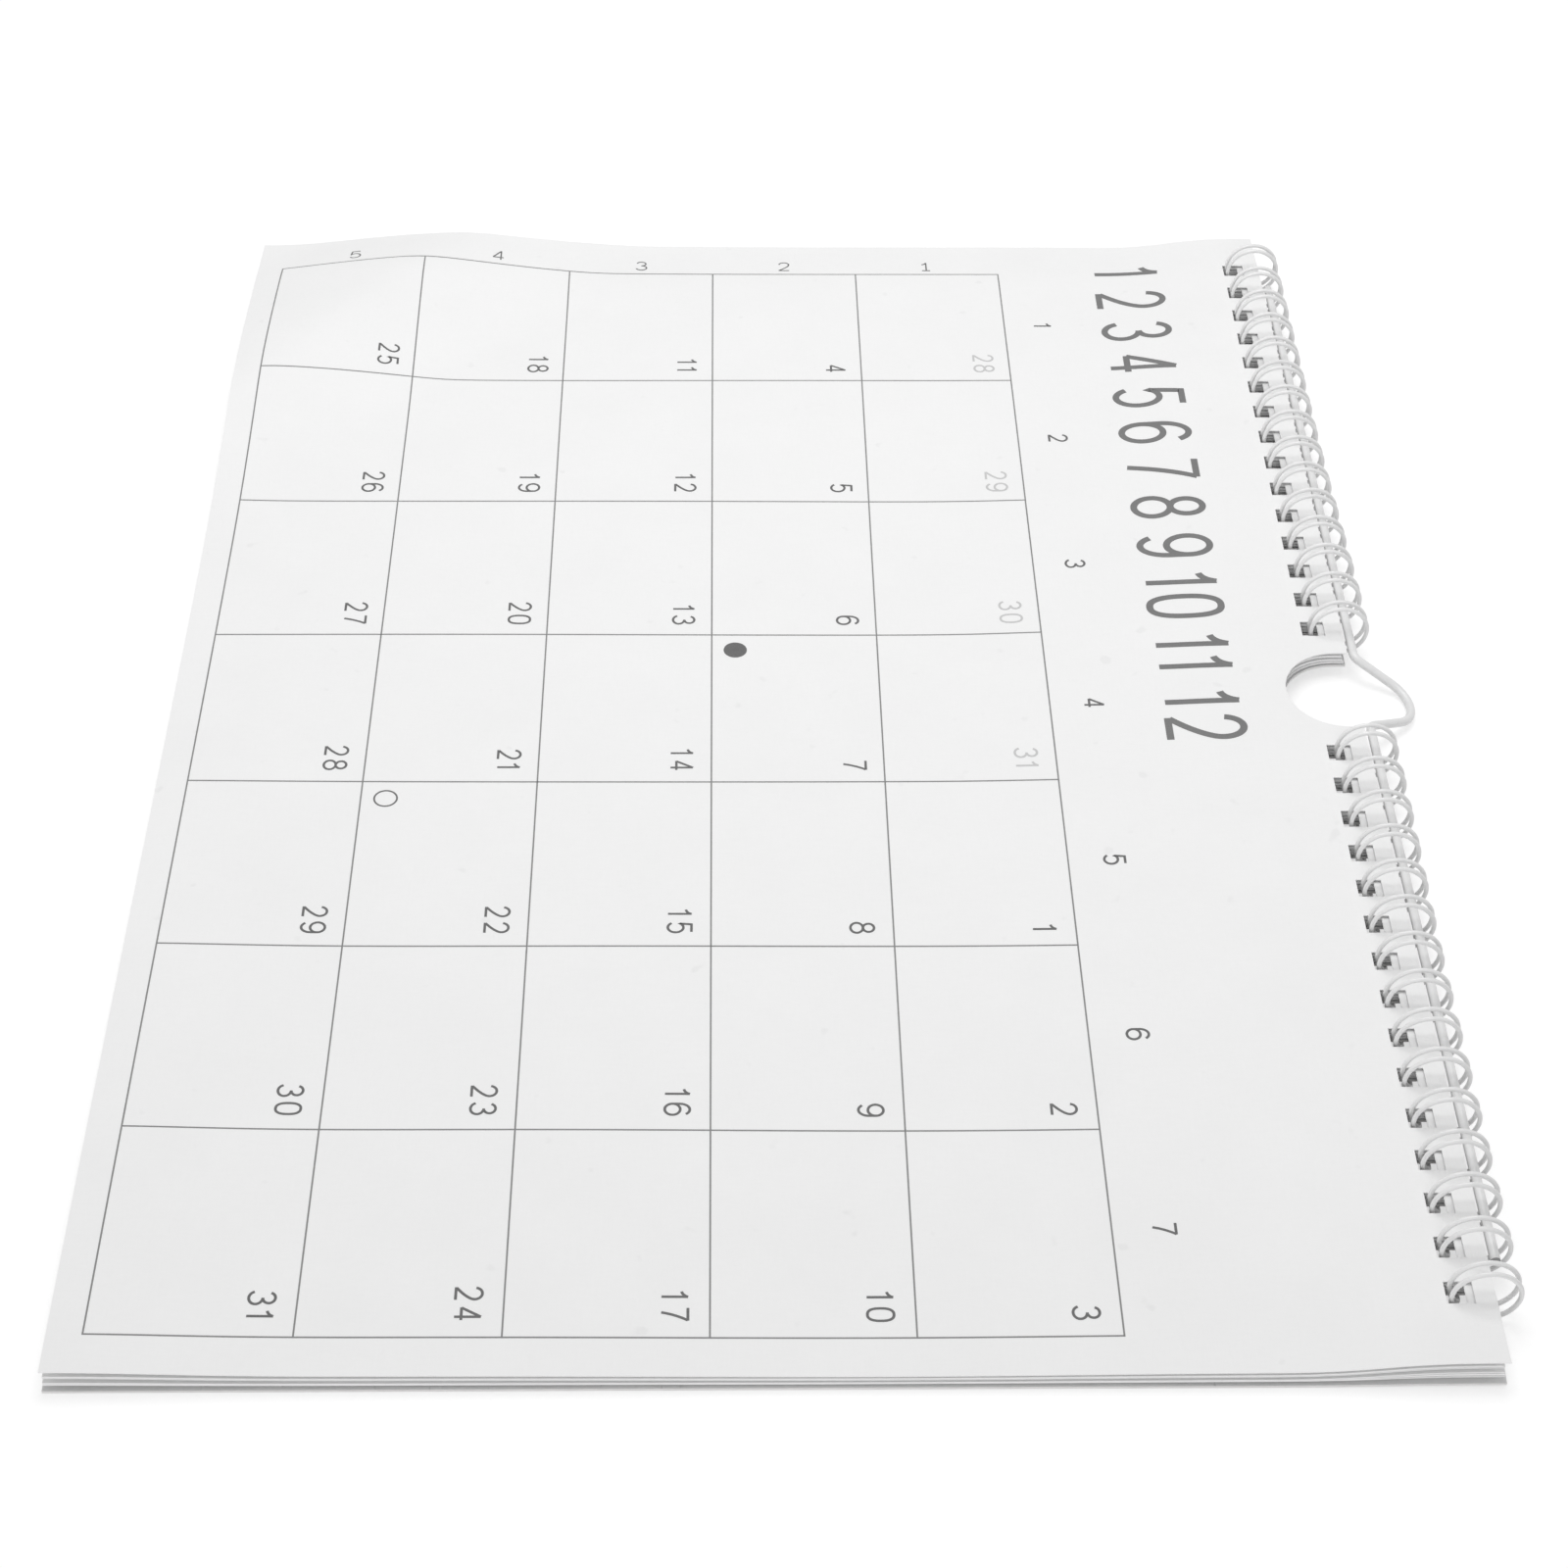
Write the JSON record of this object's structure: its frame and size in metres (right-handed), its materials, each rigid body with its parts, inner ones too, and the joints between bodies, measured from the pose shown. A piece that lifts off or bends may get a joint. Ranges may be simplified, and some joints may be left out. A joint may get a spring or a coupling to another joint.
{
  "type": "wall calendar",
  "caption": "Landscape wall calendar: month sheets, front sheet and back board on a twin-loop wire binding, with a swinging wire hanger in a thumb notch.",
  "frame": {"origin": "centre of the whole outline seen from above, in the plane that the back board and the wire loops rest on", "axes": "+X along the binding in reading direction, +Y from the sheets' bottom edge to the binding, +Z out of the printed face"},
  "size_m": [0.297, 0.2212, 0.0111],
  "materials": {
    "paper": "matt uncoated white paper",
    "board": "matt white-lined board",
    "ink": "matt grey print",
    "binding_wire": "satin white coating on steel wire",
    "hanger_wire": "satin white coating on steel wire"
  },
  "bodies": {
    "calendar": {"month_sheets": "paper", "back_board": "board", "binding_wire_left": "binding_wire", "binding_wire_right": "binding_wire"},
    "turning_sheet": {"front_sheet": "paper", "printed_month": "ink"},
    "hanger": {"hanger_wire": "hanger_wire"}
  },
  "joints": [
    {"name": "sheet_turn", "type": "hinge", "parent": "calendar", "child": "turning_sheet", "pos_m": [0, 0.099, 0.00555], "axis": [-1, 0, 0], "range_deg": [0, 180]},
    {"name": "hanger_swing", "type": "hinge", "parent": "calendar", "child": "hanger", "pos_m": [0, 0.1006, 0.0047], "axis": [1, 0, 0], "range_deg": [0, 220]}
  ]
}
